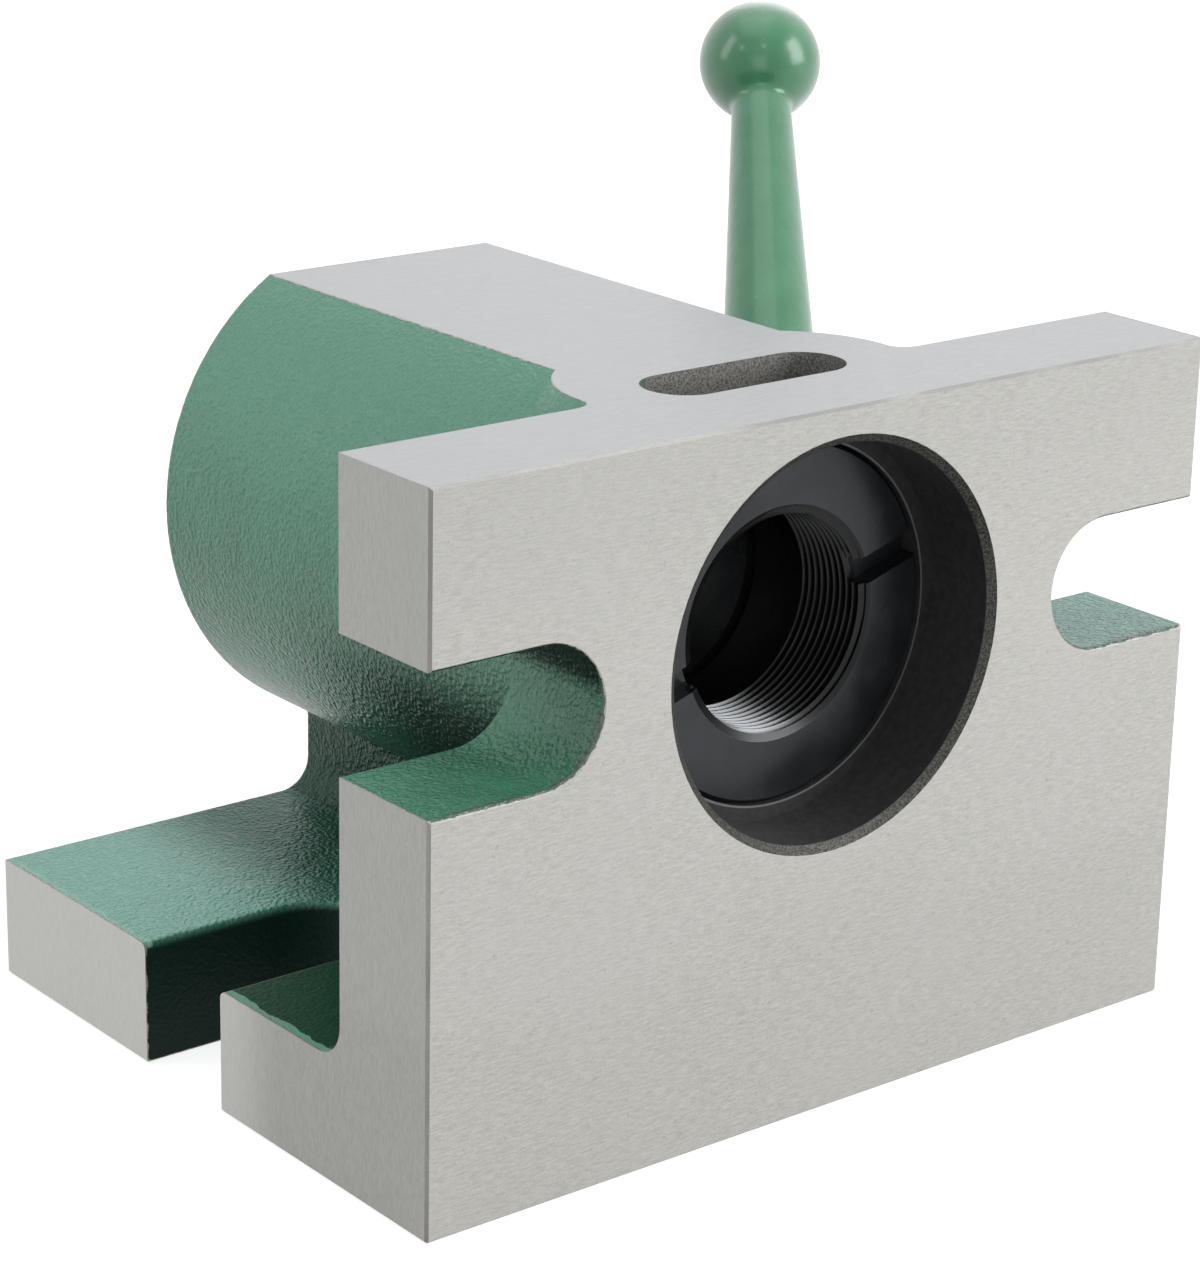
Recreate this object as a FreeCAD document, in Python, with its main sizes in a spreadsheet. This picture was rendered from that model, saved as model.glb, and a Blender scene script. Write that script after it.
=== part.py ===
import FreeCAD, Part
import math
import os
import Sketcher
from FreeCAD import Placement, Rotation, Vector

# Collet fixture for 5C collets: a slotted iron casting with a draw nut that a cam lever pulls.
# Millimetres. X runs across the plate, Z up, and Y from the plate's face to the collet's nose.
# The origin is under the middle of the base. Lengths named "depth" run along Y from the plate's face.

doc = FreeCAD.newDocument("collet_fixture")
dims = doc.addObject("Spreadsheet::Sheet", "dims")

SIZES = [
    # The casting's overall form
    ("plate_width", 133.35),
    ("full_depth", 104.8),
    ("plate_thick", 19.05),
    ("base_thick", 18.0),
    ("axis_height", 66.7),
    ("flat_rise", 32.7),
    ("heel_fillet", 5.0),
    ("cast_edge", 1.2),
    ("machined_edge", 0.4),
    # Clamping slots, open at both sides
    ("clamp_slot_width", 19.05),
    ("plate_slot_reach", 27.0),
    ("base_slot_reach", 31.75),
    ("base_slot_depth", 56.8),
    # Barrel, collar and the web that carries them
    ("barrel_radius", 38.2),
    ("barrel_fillet", 1.2),
    ("collar_lift", 7.0),
    ("collar_inset", 1.15),
    ("collar_end", 22.4),
    ("flare_end", 36.8),
    ("flare_drop", 4.9),
    ("collar_fillet", 2.5),
    ("web_width", 27.0),
    ("neck_fillet", 2.5),
    ("web_fillet", 5.0),
    # Bores in the barrel
    ("counterbore_radius", 27.6),
    ("counterbore_depth", 11.6),
    ("mouth_chamfer_width", 1.2),
    ("mouth_chamfer_depth", 0.9),
    ("bore_radius", 25.4),
    ("running_gap", 0.1),
    # Slot in the flat that lets a pin reach the nut
    ("pin_slot_length", 32.8),
    ("pin_slot_width", 11.5),
    ("pin_slot_depth", 20.95),
    # Draw nut
    ("nut_face_depth", 12.0),
    ("nut_shoulder_depth", 28.1),
    ("nut_hub_radius", 21.0),
    ("nut_hub_end", 36.0),
    ("nut_edge", 0.6),
    ("thread_minor_radius", 15.1),
    ("thread_mouth_radius", 16.5),
    ("thread_mouth_depth", 0.7),
    ("thread_end_depth", 25.3),
    ("thread_relief_radius", 16.4),
    ("spanner_slot_width", 4.0),
    ("spanner_slot_cut", 3.0),
    ("spanner_slot_turn", 17.0),
    ("pin_hole_radius", 2.75),
    ("pin_hole_cut", 7.0),
    ("pin_hole_count", 8),
    # Thrust washer and retaining ring
    ("washer_gap", 0.1),
    ("washer_thick", 1.5),
    ("ring_inner_radius", 20.4),
    ("ring_outer_radius", 22.2),
    ("ring_thick", 1.5),
    ("ring_depth", 33.0),
    ("ring_mouth_turn", 40.0),
    ("ring_gap", 0.15),
    # Draw sleeve
    ("sleeve_space", 1.6),
    ("sleeve_bore_radius", 16.4),
    ("sleeve_edge", 0.8),
    ("hub_end_gap", 2.0),
    # Cam shaft across the barrel's right wall
    ("pivot_inset", 30.5),
    ("boss_radius", 14.5),
    ("boss_rise", 2.8),
    ("boss_fillet", 2.0),
    ("journal_radius", 9.5),
    ("journal_gap", 0.05),
    ("cam_pin_radius", 4.0),
    ("cam_pin_reach", 6.6),
    ("cam_pin_gap", 0.25),
    ("cam_throw", 2.0),
    ("cam_phase", 10.0),
    ("cam_slot_run", 3.5),
    ("cam_slot_floor", 0.6),
    ("lock_groove_place", 30.0),
    ("lock_groove_width", 3.4),
    ("lock_groove_cut", 1.5),
    ("stub_radius", 6.5),
    ("shaft_edge", 0.6),
    # Screws
    ("screw_radius", 3.0),
    ("screw_gap", 0.05),
    ("dog_radius", 1.5),
    ("dog_length", 2.4),
    ("dog_gap", 0.2),
    ("lock_screw_length", 8.0),
    ("hex_across_flats", 3.0),
    ("hex_cut", 2.6),
    # Lever: hub, tapered rod and ball in one piece
    ("lever_lean", 41.0),
    ("lever_spread", 26.5),
    ("hub_gap", 0.3),
    ("hub_length", 29.0),
    ("hub_radius", 12.5),
    ("hub_edge", 0.8),
    ("hub_fillet", 1.5),
    ("rod_inset", 11.9),
    ("rod_root_radius", 7.9),
    ("rod_root_reach", 6.2),
    ("rod_tip_radius", 4.4),
    ("ball_reach", 77.6),
    ("ball_radius", 10.0),
    ("ball_fillet", 1.6),
    # Collet seat in the nose, and its key
    ("seat_length", 22.2),
    ("collet_bore_radius", 15.95),
    ("key_relief_length", 3.8),
    ("key_relief_cut", 0.35),
    ("seat_land", 4.0),
    ("seat_angle", 10.0),
    ("nose_counterbore_radius", 19.3),
    ("nose_counterbore_cut", 2.4),
    ("seat_edge", 0.5),
    ("key_radius", 1.5),
    ("key_reach", 1.0),
    ("key_length", 8.6),
    # Sizes that follow from others
    ("flat_height", "=axis_height + flat_rise"),
    ("collar_radius", "=barrel_radius - collar_inset"),
    ("ring_sweep", "=360 - ring_mouth_turn"),
    ("boss_face", "=barrel_radius + boss_rise"),
    ("pivot_depth", "=full_depth - pivot_inset"),
    ("sleeve_end", "=full_depth - seat_length - sleeve_space"),
]

for row, (alias, size) in enumerate(SIZES, start=1):
    dims.set("A%d" % row, alias)
    dims.set("B%d" % row, str(size))
    dims.setAlias("B%d" % row, alias)
doc.recompute()


def sized(text):
    """Names each size in the text as a cell of the sheet: words become dims.word."""
    words = []
    for word in text.split():
        words.append("dims." + word if word in KNOWN else word)
    return " ".join(words)


def worth(text):
    """The number that an expression has now."""
    return float(dims.evalExpression(sized(text)))


KNOWN = {alias for alias, size in SIZES}


# Helpers for bodies and sketches

def new_body(label, turn=Rotation(), x="0", y="0 - full_depth / 2", z="0"):
    """A body in its own frame, placed by expressions. Depths start at the plate's face."""
    body = doc.addObject("PartDesign::Body", label)
    body.Label = label
    body.Placement = Placement(Vector(), turn)
    body.setExpression("Placement.Base.x", sized(x))
    body.setExpression("Placement.Base.y", sized(y))
    body.setExpression("Placement.Base.z", sized(z))
    return body


def new_sketch(body, name, plane, offset="0"):
    """A sketch on one of the body's own origin planes, moved along that plane's normal."""
    sketch = body.newObject("Sketcher::SketchObject", name)
    for feature in body.Origin.OriginFeatures:
        if feature.Role == plane:
            sketch.AttachmentSupport = (feature, [""])
    sketch.MapMode = "FlatFace"
    sketch.setExpression("AttachmentOffset.Base.z", sized(offset))
    return sketch


def pin_point(sketch, geometry, position, x, y):
    """Holds a point of the sketch at the place that two expressions give."""
    for kind, text in (("DistanceX", x), ("DistanceY", y)):
        number = sketch.addConstraint(Sketcher.Constraint(kind, geometry, position, worth(text)))
        sketch.setExpression("Constraints[%d]" % number, sized(text))


def arc_between(start, end, centre, turns_left):
    """An arc from start to end round the centre, anticlockwise if turns_left."""
    radius = (start - centre).Length
    first = math.atan2(start.y - centre.y, start.x - centre.x)
    last = math.atan2(end.y - centre.y, end.x - centre.x)
    sweep = (last - first) % (2 * math.pi)
    if not turns_left:
        sweep -= 2 * math.pi
    middle = first + sweep / 2
    point = centre + Vector(math.cos(middle), math.sin(middle), 0) * radius
    return Part.Arc(start, point, end)


def outline(sketch, corners, arcs=()):
    """A closed outline. corners are pairs of expressions. arcs maps the number of the run that
    leaves a corner to the arc's centre and to whether it turns left."""
    arcs = dict(arcs)
    places = [Vector(worth(x), worth(y), 0) for x, y in corners]
    ends = []
    for number, start in enumerate(places):
        end = places[(number + 1) % len(places)]
        if number in arcs:
            (x, y), turns_left = arcs[number]
            centre = Vector(worth(x), worth(y), 0)
            run = sketch.addGeometry(arc_between(start, end, centre, turns_left), False)
            swapped = (sketch.getPoint(run, 1) - start).Length > (sketch.getPoint(run, 2) - start).Length
            ends.append((run, 2, 1) if swapped else (run, 1, 2))
        else:
            ends.append((sketch.addGeometry(Part.LineSegment(start, end), False), 1, 2))
    for number, (run, first, last) in enumerate(ends):
        following = ends[(number + 1) % len(ends)]
        sketch.addConstraint(Sketcher.Constraint("Coincident", run, last, following[0], following[1]))
        pin_point(sketch, run, first, *corners[number])
    for number, ((x, y), turns_left) in arcs.items():
        chord = places[(number + 1) % len(places)] - places[number]
        kind, text = ("DistanceY", y) if abs(chord.x) > abs(chord.y) else ("DistanceX", x)
        held = sketch.addConstraint(Sketcher.Constraint(kind, ends[number][0], 3, worth(text)))
        sketch.setExpression("Constraints[%d]" % held, sized(text))


def circle(sketch, x, y, radius):
    """A circle with its centre and radius from expressions."""
    place = Vector(worth(x), worth(y), 0)
    run = sketch.addGeometry(Part.Circle(place, Vector(0, 0, 1), worth(radius)), False)
    pin_point(sketch, run, 3, x, y)
    held = sketch.addConstraint(Sketcher.Constraint("Radius", run, worth(radius)))
    sketch.setExpression("Constraints[%d]" % held, sized(radius))


def long_hole(sketch, x, y, half_run, radius):
    """A slot with round ends, along the sketch's X."""
    left = "%s - ( %s )" % (x, half_run)
    right = "%s + ( %s )" % (x, half_run)
    low = "%s - ( %s )" % (y, radius)
    high = "%s + ( %s )" % (y, radius)
    corners = [(left, low), (right, low), (right, high), (left, high)]
    outline(sketch, corners, {1: ((right, y), True), 3: ((left, y), True)})


def turning_axis(sketch, height):
    """A construction line along the sketch's X at the height given, for a revolution."""
    start = Vector(0, worth(height), 0)
    run = sketch.addGeometry(Part.LineSegment(start, start + Vector(10, 0, 0)), True)
    pin_point(sketch, run, 1, "0", height)
    pin_point(sketch, run, 2, "10", height)


def extrude(body, kind, name, sketch, length, backward=False, both_ways=False):
    """A pad or pocket with its length from an expression."""
    feature = body.newObject("PartDesign::" + kind, name)
    feature.Profile = sketch
    feature.setExpression("Length", sized(length))
    feature.Reversed = backward
    if both_ways:
        feature.SideType = "Symmetric"
    body.Tip = feature
    doc.recompute()
    return feature


def turn(body, kind, name, sketch, axis, angle="360"):
    """A revolution or groove about an axis of its sketch."""
    feature = body.newObject("PartDesign::" + kind, name)
    feature.Profile = sketch
    feature.ReferenceAxis = (sketch, [axis])
    feature.setExpression("Angle", sized(angle))
    body.Tip = feature
    doc.recompute()
    return feature


def dress(body, kind, name, base, test, size):
    """A fillet or chamfer on the edges of the base feature that pass the test."""
    names = []
    for number, edge in enumerate(base.Shape.Edges, start=1):
        if test(edge):
            names.append("Edge%d" % number)
    if not names:
        raise RuntimeError("no edge found for " + name)
    feature = body.newObject("PartDesign::" + kind, name)
    feature.Base = (base, names)
    feature.setExpression("Radius" if kind == "Fillet" else "Size", sized(size))
    body.Tip = feature
    doc.recompute()
    return feature


def close_to(first, second):
    """Whether two lengths agree."""
    return abs(first - second) < 0.01


ALONG_Y = Rotation(Vector(1, 0, 0), -90)
ALONG_X = Rotation(Vector(0, 1, 0), 90)


# Casting: plate, base and web

casting = new_body("body_casting")

half_width = "plate_width / 2"
slot_half = "clamp_slot_width / 2"
plate_slot_end = "plate_width / 2 - plate_slot_reach + clamp_slot_width / 2"
slot_low = "axis_height - clamp_slot_width / 2"
slot_high = "axis_height + clamp_slot_width / 2"


def minus(text):
    """The same length to the left."""
    return "0 - ( %s )" % text


plate_sketch = new_sketch(casting, "plate_outline", "XZ_Plane")
plate_corners = [
    (minus(half_width), "0"),
    (half_width, "0"),
    (half_width, slot_low),
    (plate_slot_end, slot_low),
    (plate_slot_end, slot_high),
    (half_width, slot_high),
    (half_width, "flat_height"),
    (minus(half_width), "flat_height"),
    (minus(half_width), slot_high),
    (minus(plate_slot_end), slot_high),
    (minus(plate_slot_end), slot_low),
    (minus(half_width), slot_low),
]
outline(plate_sketch, plate_corners, {
    3: ((plate_slot_end, "axis_height"), False),
    9: ((minus(plate_slot_end), "axis_height"), False),
})
extrude(casting, "Pad", "plate", plate_sketch, "plate_thick", backward=True)

base_slot_end = "plate_width / 2 - base_slot_reach + clamp_slot_width / 2"
slot_front = "base_slot_depth - clamp_slot_width / 2"
slot_rear = "base_slot_depth + clamp_slot_width / 2"
base_sketch = new_sketch(casting, "base_outline", "XY_Plane")
base_corners = [
    (minus(half_width), "0"),
    (half_width, "0"),
    (half_width, slot_front),
    (base_slot_end, slot_front),
    (base_slot_end, slot_rear),
    (half_width, slot_rear),
    (half_width, "full_depth"),
    (minus(half_width), "full_depth"),
    (minus(half_width), slot_rear),
    (minus(base_slot_end), slot_rear),
    (minus(base_slot_end), slot_front),
    (minus(half_width), slot_front),
]
outline(base_sketch, base_corners, {
    3: ((base_slot_end, "base_slot_depth"), False),
    9: ((minus(base_slot_end), "base_slot_depth"), False),
})
base_pad = extrude(casting, "Pad", "base", base_sketch, "base_thick")


def is_heel(edge):
    """The inner corner between the base's top and the plate's back."""
    box = edge.BoundBox
    return close_to(box.YMin, worth("plate_thick")) and close_to(box.YMax, worth("plate_thick")) \
        and close_to(box.ZMin, worth("base_thick")) and close_to(box.ZMax, worth("base_thick"))


heel = dress(casting, "Fillet", "heel", base_pad, is_heel, "heel_fillet")


def is_base_slot_rim(edge):
    """The upper rim of a base slot, which is a cast edge."""
    box = edge.BoundBox
    middle = edge.CenterOfMass
    inside = abs(middle.x) < worth(half_width) - 0.1
    across = worth(slot_front) - 0.01 <= box.YMin and box.YMax <= worth(slot_rear) + 0.01
    return close_to(box.ZMin, worth("base_thick")) and inside and across


slot_rims = dress(casting, "Fillet", "slot_rims", heel, is_base_slot_rim, "cast_edge")

web_sketch = new_sketch(casting, "web_outline", "XZ_Plane", "0 - full_depth")
web_side = "web_width / 2"
web_foot = "web_width / 2 + web_fillet"
web_low = "base_thick - cast_edge"
web_turn = "base_thick + web_fillet"
neck_side = "( web_width / 2 + neck_fillet )"
neck_drop = "sqrt( ( barrel_radius + neck_fillet ) ^ 2 - %s ^ 2 )" % neck_side
neck_share = "barrel_radius / ( barrel_radius + neck_fillet )"
neck_low = "axis_height - " + neck_drop
neck_tip = neck_side + " * " + neck_share
neck_high = "axis_height - %s * %s" % (neck_drop, neck_share)
outline(web_sketch, [
    (minus(web_foot), web_low),
    (web_foot, web_low),
    (web_foot, "base_thick"),
    (web_side, web_turn),
    (web_side, neck_low),
    (neck_tip, neck_high),
    (neck_tip, "axis_height"),
    (minus(neck_tip), "axis_height"),
    (minus(neck_tip), neck_high),
    (minus(web_side), neck_low),
    (minus(web_side), web_turn),
    (minus(web_foot), "base_thick"),
], {
    2: ((web_foot, web_turn), False),
    4: ((neck_side, neck_low), False),
    8: ((minus(neck_side), neck_low), False),
    10: ((minus(web_foot), web_turn), False),
})
extrude(casting, "Pad", "web", web_sketch, "full_depth - plate_thick / 2")

# Casting: barrel, and the collar that thickens its upper half towards the plate

barrel_sketch = new_sketch(casting, "barrel_outline", "YZ_Plane")
turning_axis(barrel_sketch, "axis_height")
barrel_top = "axis_height + barrel_radius"
foot_end = "plate_thick + barrel_fillet"
foot_top = "axis_height + barrel_radius + barrel_fillet"
outline(barrel_sketch, [
    ("plate_thick / 2", "axis_height"),
    ("full_depth", "axis_height"),
    ("full_depth", barrel_top),
    (foot_end, barrel_top),
    ("plate_thick", foot_top),
    ("plate_thick / 2", foot_top),
], {3: ((foot_end, foot_top), False)})
turn(casting, "Revolution", "barrel", barrel_sketch, "Axis0")

collar_axis = "axis_height + collar_lift"
collar_sketch = new_sketch(casting, "collar_outline", "YZ_Plane")
turning_axis(collar_sketch, collar_axis)
flare_radius = "( ( flare_end - collar_end ) ^ 2 + flare_drop ^ 2 ) / ( 2 * flare_drop )"
collar_top = collar_axis + " + collar_radius"
fillet_top = collar_axis + " + collar_radius + collar_fillet"
fillet_end = "plate_thick + collar_fillet"
outline(collar_sketch, [
    ("plate_thick / 2", collar_axis),
    ("flare_end", collar_axis),
    ("flare_end", collar_top + " - flare_drop"),
    ("collar_end", collar_top),
    (fillet_end, collar_top),
    ("plate_thick", fillet_top),
    ("plate_thick / 2", fillet_top),
], {
    2: (("collar_end", collar_top + " - " + flare_radius), True),
    4: ((fillet_end, fillet_top), False),
})
turn(casting, "Revolution", "collar", collar_sketch, "Axis0")

flat_sketch = new_sketch(casting, "flat_outline", "YZ_Plane")
outline(flat_sketch, [
    ("0 - plate_thick", "flat_height"),
    ("full_depth + plate_thick", "flat_height"),
    ("full_depth + plate_thick", fillet_top + " + plate_thick"),
    ("0 - plate_thick", fillet_top + " + plate_thick"),
])
extrude(casting, "Pocket", "flat", flat_sketch, "4 * collar_radius", both_ways=True)

# Casting: boss for the cam shaft on the right of the barrel

boss_root = "bore_radius + ( barrel_radius - bore_radius ) / 2"
boss_sketch = new_sketch(casting, "boss_outline", "YZ_Plane", boss_root)
circle(boss_sketch, "pivot_depth", "axis_height", "boss_radius")
boss_pad = extrude(casting, "Pad", "boss", boss_sketch, "boss_face - ( %s )" % boss_root)


def is_boss_foot(edge):
    """The curve where the boss meets the barrel."""
    box = edge.BoundBox
    radius = worth("boss_radius")
    place = edge.CenterOfMass
    near = abs(place.y - worth("pivot_depth")) < radius and abs(place.z - worth("axis_height")) < radius
    wide = max(box.YLength, box.ZLength) > radius - 0.1
    return near and wide and box.XMax < worth("boss_face") - 0.1 and box.XMin > worth("bore_radius")


boss_foot = dress(casting, "Fillet", "boss_foot", boss_pad, is_boss_foot, "boss_fillet")

# Casting: bores, slots and holes

bore_sketch = new_sketch(casting, "bore_outline", "YZ_Plane")
turning_axis(bore_sketch, "axis_height")
mouth = "axis_height + counterbore_radius + mouth_chamfer_width"
counterbore = "axis_height + counterbore_radius"
bore = "axis_height + bore_radius"
outline(bore_sketch, [
    ("0 - plate_thick", "axis_height"),
    ("0 - plate_thick", mouth),
    ("0", mouth),
    ("mouth_chamfer_depth", counterbore),
    ("counterbore_depth", counterbore),
    ("counterbore_depth", bore),
    ("full_depth + plate_thick", bore),
    ("full_depth + plate_thick", "axis_height"),
])
turn(casting, "Groove", "bores", bore_sketch, "Axis0")

pin_slot_sketch = new_sketch(casting, "pin_slot_outline", "XY_Plane", "flat_height")
long_hole(pin_slot_sketch, "0", "pin_slot_depth", "( pin_slot_length - pin_slot_width ) / 2",
          "pin_slot_width / 2")
extrude(casting, "Pocket", "pin_slot", pin_slot_sketch, "flat_height - axis_height")

journal_hole_sketch = new_sketch(casting, "journal_hole_outline", "YZ_Plane", "boss_face")
circle(journal_hole_sketch, "pivot_depth", "axis_height", "journal_radius + journal_gap")
extrude(casting, "Pocket", "journal_hole", journal_hole_sketch, "boss_face - bore_radius / 2")

lock_hole_sketch = new_sketch(casting, "lock_hole_outline", "XY_Plane", "axis_height - barrel_radius")
circle(lock_hole_sketch, "lock_groove_place", "pivot_depth", "screw_radius + screw_gap")
lock_hole = extrude(casting, "Pocket", "lock_hole", lock_hole_sketch,
                    "barrel_radius - journal_radius / 2", backward=True)


def is_machined_edge(edge):
    """The outer edges of the plate's face and of the base's underside."""
    box = edge.BoundBox
    in_face = close_to(box.YMin, 0) and close_to(box.YMax, 0)
    in_underside = close_to(box.ZMin, 0) and close_to(box.ZMax, 0)
    mouth_radius = worth("counterbore_radius + mouth_chamfer_width")
    in_mouth = in_face and box.XMin > -mouth_radius - 0.1 and box.XMax < mouth_radius + 0.1
    return (in_face or in_underside) and not in_mouth


dress(casting, "Chamfer", "machined_edges", lock_hole, is_machined_edge, "machined_edge")

# Draw nut: threaded for the collet's tail, turned with a pin through the top slot

nut = new_body("draw_nut", ALONG_Y, z="axis_height")
nut_sketch = new_sketch(nut, "nut_outline", "XZ_Plane")
rim = "bore_radius - running_gap"
groove_floor = "ring_inner_radius - ring_gap"
groove_half = "ring_thick / 2 + ring_gap"
outline(nut_sketch, [
    ("thread_mouth_radius", "nut_face_depth"),
    (rim + " - nut_edge", "nut_face_depth"),
    (rim, "nut_face_depth + nut_edge"),
    (rim, "nut_shoulder_depth"),
    ("nut_hub_radius", "nut_shoulder_depth"),
    ("nut_hub_radius", "ring_depth - ( %s )" % groove_half),
    (groove_floor, "ring_depth - ( %s )" % groove_half),
    (groove_floor, "ring_depth + " + groove_half),
    ("nut_hub_radius", "ring_depth + " + groove_half),
    ("nut_hub_radius", "nut_hub_end"),
    ("thread_relief_radius", "nut_hub_end"),
    ("thread_relief_radius", "thread_end_depth"),
    ("thread_minor_radius", "thread_end_depth"),
    ("thread_minor_radius", "nut_face_depth + thread_mouth_depth"),
])
turn(nut, "Revolution", "nut_blank", nut_sketch, "V_Axis")

spanner_sketch = new_sketch(nut, "spanner_slot_outline", "XY_Plane", "nut_face_depth")
spanner_sketch.AttachmentOffset = Placement(Vector(), Rotation(Vector(0, 0, 1), -worth("spanner_slot_turn")))
spanner_sketch.setExpression("AttachmentOffset.Rotation.Angle", sized("0 - spanner_slot_turn"))
outline(spanner_sketch, [
    ("0 - bore_radius", "0 - spanner_slot_width / 2"),
    ("bore_radius", "0 - spanner_slot_width / 2"),
    ("bore_radius", "spanner_slot_width / 2"),
    ("0 - bore_radius", "spanner_slot_width / 2"),
])
extrude(nut, "Pocket", "spanner_slot", spanner_sketch, "spanner_slot_cut", backward=True)

pin_hole_sketch = new_sketch(nut, "pin_hole_outline", "YZ_Plane", "bore_radius")
circle(pin_hole_sketch, "0", "pin_slot_depth", "pin_hole_radius")
pin_hole = extrude(nut, "Pocket", "pin_hole", pin_hole_sketch, "pin_hole_cut + running_gap")

pin_holes = nut.newObject("PartDesign::PolarPattern", "pin_holes")
pin_holes.Originals = [pin_hole]
pin_holes.Axis = ([f for f in nut.Origin.OriginFeatures if f.Role == "Z_Axis"][0], [""])
pin_holes.Angle = 360
pin_holes.setExpression("Occurrences", sized("pin_hole_count"))
nut.Tip = pin_holes

# Thrust washer, between the nut's shoulder and the sleeve

washer_front = "nut_shoulder_depth + washer_gap"
sleeve_front = "nut_shoulder_depth + washer_gap + washer_thick"
washer = new_body("thrust_washer", ALONG_Y, z="axis_height")
washer_sketch = new_sketch(washer, "washer_outline", "XZ_Plane")
outline(washer_sketch, [
    ("nut_hub_radius + 2 * running_gap", washer_front),
    (rim + " - running_gap", washer_front),
    (rim + " - running_gap", sleeve_front),
    ("nut_hub_radius + 2 * running_gap", sleeve_front),
])
turn(washer, "Revolution", "washer_ring", washer_sketch, "V_Axis")

# Retaining ring, sprung outward into the sleeve's groove

ring = new_body("nut_retaining_ring", ALONG_Y, z="axis_height")
ring_sketch = new_sketch(ring, "ring_outline", "XZ_Plane")
outline(ring_sketch, [
    ("ring_inner_radius", "ring_depth - ring_thick / 2"),
    ("ring_outer_radius", "ring_depth - ring_thick / 2"),
    ("ring_outer_radius", "ring_depth + ring_thick / 2"),
    ("ring_inner_radius", "ring_depth + ring_thick / 2"),
])
turn(ring, "Revolution", "ring_strip", ring_sketch, "V_Axis", "ring_sweep")

# Draw sleeve, which slides in the bore and pushes the nut toward the plate

sleeve = new_body("draw_sleeve", ALONG_Y, z="axis_height")
sleeve_sketch = new_sketch(sleeve, "sleeve_outline", "XZ_Plane")
hub_bore = "nut_hub_radius + running_gap"
sleeve_groove = "ring_outer_radius + running_gap"
outline(sleeve_sketch, [
    (hub_bore, sleeve_front),
    (rim + " - sleeve_edge", sleeve_front),
    (rim, sleeve_front + " + sleeve_edge"),
    (rim, "sleeve_end - sleeve_edge"),
    (rim + " - sleeve_edge", "sleeve_end"),
    ("sleeve_bore_radius", "sleeve_end"),
    ("sleeve_bore_radius", "nut_hub_end + hub_end_gap"),
    (hub_bore, "nut_hub_end + hub_end_gap"),
    (hub_bore, "ring_depth + " + groove_half),
    (sleeve_groove, "ring_depth + " + groove_half),
    (sleeve_groove, "ring_depth - ( %s )" % groove_half),
    (hub_bore, "ring_depth - ( %s )" % groove_half),
])
turn(sleeve, "Revolution", "sleeve_tube", sleeve_sketch, "V_Axis")

cam_slot_sketch = new_sketch(sleeve, "cam_slot_outline", "YZ_Plane", "bore_radius")
long_hole(cam_slot_sketch, "cam_throw * cos( cam_phase )", "pivot_depth + cam_throw * sin( cam_phase )",
          "cam_slot_run", "cam_pin_radius + cam_pin_gap")
extrude(sleeve, "Pocket", "cam_slot", cam_slot_sketch, "cam_pin_reach + cam_slot_floor")

# Cam shaft: eccentric pin, journal and the stub that carries the lever

shaft = new_body("cam_shaft", ALONG_X, y="pivot_depth - full_depth / 2", z="axis_height")
shaft_sketch = new_sketch(shaft, "shaft_outline", "XZ_Plane")
journal_start = "bore_radius + running_gap"
hub_face = "boss_face + hub_gap"
stub_end = "boss_face + hub_gap + hub_length"
lock_low = "lock_groove_place - lock_groove_width / 2"
lock_high = "lock_groove_place + lock_groove_width / 2"
outline(shaft_sketch, [
    ("0", journal_start),
    ("journal_radius - shaft_edge", journal_start),
    ("journal_radius", journal_start + " + shaft_edge"),
    ("journal_radius", lock_low),
    ("journal_radius - lock_groove_cut", lock_low),
    ("journal_radius - lock_groove_cut", lock_high),
    ("journal_radius", lock_high),
    ("journal_radius", hub_face),
    ("stub_radius", hub_face),
    ("stub_radius", stub_end + " - shaft_edge"),
    ("stub_radius - shaft_edge", stub_end),
    ("0", stub_end),
])
turn(shaft, "Revolution", "journal", shaft_sketch, "V_Axis")

cam_pin_sketch = new_sketch(shaft, "cam_pin_outline", "XY_Plane", "bore_radius - cam_pin_reach")
circle(cam_pin_sketch, "cam_throw * cos( cam_phase )", "cam_throw * sin( cam_phase )", "cam_pin_radius")
extrude(shaft, "Pad", "cam_pin", cam_pin_sketch, "cam_pin_reach + running_gap + shaft_edge")

# Screws with a hexagon socket

def hexagon_socket(body, name, height, backward):
    """A hexagon socket cut along the body's Z from the height given."""
    sketch = new_sketch(body, name + "_outline", "XY_Plane", height)
    corners = []
    for number in range(6):
        angle = 60 * number
        reach = "hex_across_flats / ( 2 * cos( 30 ) )"
        corners.append(("%s * cos( %d )" % (reach, angle), "%s * sin( %d )" % (reach, angle)))
    outline(sketch, corners)
    extrude(body, "Pocket", name, sketch, "hex_cut", backward=backward)


dog_top = "axis_height - journal_radius + lock_groove_cut - dog_gap"
lock_screw = new_body("shaft_lock_screw", x="lock_groove_place", y="pivot_depth - full_depth / 2", z=dog_top)
lock_sketch = new_sketch(lock_screw, "lock_screw_outline", "XZ_Plane")
screw_top = "0 - dog_length"
screw_low = "0 - dog_length - lock_screw_length"
outline(lock_sketch, [
    ("0", "0"),
    ("dog_radius", "0"),
    ("dog_radius", screw_top),
    ("screw_radius", screw_top),
    ("screw_radius", screw_low),
    ("0", screw_low),
])
turn(lock_screw, "Revolution", "lock_screw_turned", lock_sketch, "V_Axis")
hexagon_socket(lock_screw, "lock_screw_socket", screw_low, True)

# Lever: hub, rod and ball cast in one, leaning back and spread outward as the photo shows

LEVER_TURN = Rotation(Vector(1, 0, 0), -worth("lever_lean"))


def lever_body(label):
    """A body in the lever's own frame, on the pivot and turned with the lever."""
    body = new_body(label, LEVER_TURN, y="pivot_depth - full_depth / 2", z="axis_height")
    body.setExpression("Placement.Rotation.Angle", sized("0 - lever_lean"))
    return body


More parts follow.
